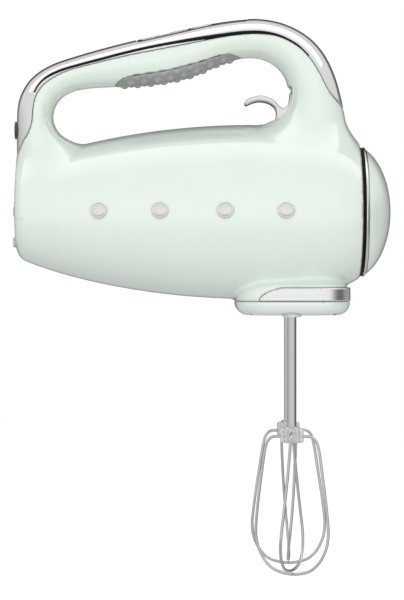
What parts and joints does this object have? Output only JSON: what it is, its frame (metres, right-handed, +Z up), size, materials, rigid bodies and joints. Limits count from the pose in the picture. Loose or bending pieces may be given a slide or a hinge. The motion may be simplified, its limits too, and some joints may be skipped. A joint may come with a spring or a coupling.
{
  "type": "hand mixer",
  "caption": "Hand-held kitchen mixer with a looped handle, a domed nose, an oval gear foot and paired wire balloon beaters that turn against each other.",
  "frame": {"origin": "where the motor axis meets the heel plane, at the rear faces of the rubber heel bars", "axes": "+X forward along the motor axis to the nose, +Y to the left of a user who looks along +X, +Z up from the beaters to the handle"},
  "size_m": [0.2086, 0.0918, 0.3062],
  "materials": {
    "housing_green": "gloss pastel green moulding",
    "chrome_trim": "bright plating",
    "brushed_band": "bright plating with a soft lengthwise grain",
    "black_seal": "satin black",
    "grip_rubber": "matt grey soft grip",
    "gland_rubber": "matt black",
    "heel_rubber": "matt pale grey",
    "panel_black": "gloss black",
    "display_smoke": "smoked window",
    "key_grey": "satin pale grey",
    "board_green": "solder-mask green",
    "board_black": "matt black parts",
    "steel": "turned steel",
    "spring_steel": "drawn wire",
    "ejector_nylon": "natural nylon",
    "lamination": "stamped laminations",
    "copper_wire": "enamelled copper",
    "zinc": "zinc-plated pressing",
    "bronze": "sintered bronze",
    "carbon": "dull black",
    "case_nylon": "moulded nylon",
    "gear_acetal": "moulded acetal",
    "beater_steel": "polished wire",
    "hub_nylon": "translucent white nylon"
  },
  "bodies": {
    "housing": {"housing_left": "housing_green", "housing_right": "housing_green", "handle_cover": "chrome_trim", "handle_seal": "black_seal", "grip_pad": "grip_rubber", "nose_cap": "housing_green", "nose_ring": "chrome_trim", "vent_ring": "black_seal", "foot_band": "brushed_band", "foot_plate": "housing_green", "cord_gland": "gland_rubber", "heel_feet": "heel_rubber", "side_studs_left": "chrome_trim", "side_studs_right": "chrome_trim", "control_panel": "panel_black", "display_window": "display_smoke", "circuit_board": "board_green", "board_parts": "board_black", "eject_pivot_pin": "steel", "ejector_spring": "spring_steel", "motor_stator": "lamination", "field_coils": "copper_wire", "rear_bracket": "zinc", "rear_bush": "bronze", "middle_bush": "bronze", "front_bush": "bronze", "brush_holders": "bronze", "carbon_brushes": "carbon", "motor_screws": "steel", "gearbox_case": "case_nylon", "gearbox_cover": "case_nylon", "gearbox_screws": "steel", "spindle_bushes": "bronze", "foot_bushes": "ejector_nylon", "housing_screws": "steel", "foot_screws": "steel"},
    "rotor": {"motor_shaft": "steel", "armature_core": "lamination", "armature_windings": "copper_wire", "commutator": "copper_wire", "cooling_fan": "ejector_nylon", "worm": "steel"},
    "gear_left": {"drive_gear_left": "gear_acetal", "spindle_left": "steel"},
    "gear_right": {"drive_gear_right": "gear_acetal", "spindle_right": "steel"},
    "beater_left": {"beater_shaft_left": "beater_steel", "beater_hub_left": "hub_nylon", "beater_wires_left": "beater_steel"},
    "beater_right": {"beater_shaft_right": "beater_steel", "beater_hub_right": "hub_nylon", "beater_wires_right": "beater_steel"},
    "eject_lever": {"eject_lever": "chrome_trim"},
    "ejector": {"ejector_plate": "ejector_nylon"},
    "turbo_button": {"turbo_button": "key_grey"},
    "speed_rocker": {"speed_rocker": "key_grey"}
  },
  "joints": [
    {"name": "left_gear_spin", "type": "hinge", "parent": "housing", "child": "gear_left", "pos_m": [0.153, 0.022, 0], "axis": [0, 0, 1], "continuous": true},
    {"name": "right_gear_spin", "type": "hinge", "parent": "housing", "child": "gear_right", "pos_m": [0.153, -0.022, 0], "axis": [0, 0, 1], "continuous": true},
    {"name": "motor_spin", "type": "hinge", "parent": "housing", "child": "rotor", "pos_m": [0, 0, 0], "axis": [1, 0, 0], "continuous": true},
    {"name": "eject_lever_pivot", "type": "hinge", "parent": "housing", "child": "eject_lever", "pos_m": [0.151, 0, 0.045], "axis": [0, 1, 0], "range_deg": [0, 18], "stiffness_Nm_per_rad": 0.4, "springref_deg": -14.32},
    {"name": "ejector_slide", "type": "slide", "parent": "housing", "child": "ejector", "axis": [0, 0, -1], "range_m": [0, 0.0055], "deforming": ["ejector_spring"]},
    {"name": "left_beater_eject", "type": "slide", "parent": "gear_left", "child": "beater_left", "axis": [0, 0, -1], "range_m": [0, 0.0055]},
    {"name": "right_beater_eject", "type": "slide", "parent": "gear_right", "child": "beater_right", "axis": [0, 0, -1], "range_m": [0, 0.0055]},
    {"name": "speed_rocker_tilt", "type": "hinge", "parent": "housing", "child": "speed_rocker", "pos_m": [0.08355, 0, 0.09825], "axis": [0, 1, 0], "range_deg": [-3, 3], "stiffness_Nm_per_rad": 0.05},
    {"name": "turbo_button_press", "type": "slide", "parent": "housing", "child": "turbo_button", "axis": [0.2113, 0, -0.9774], "range_m": [0, 0.0008], "stiffness_N_per_m": 400, "springref_m": -0.0006}
  ],
  "couplings": [
    {"joint": "right_gear_spin", "follows": "left_gear_spin", "ratio": -1},
    {"joint": "motor_spin", "follows": "left_gear_spin", "ratio": -16},
    {"joint": "eject_lever_pivot", "follows": "ejector_slide", "rad_per_m": 57.1},
    {"joint": "left_beater_eject", "follows": "ejector_slide", "ratio": 1},
    {"joint": "right_beater_eject", "follows": "ejector_slide", "ratio": 1}
  ]
}
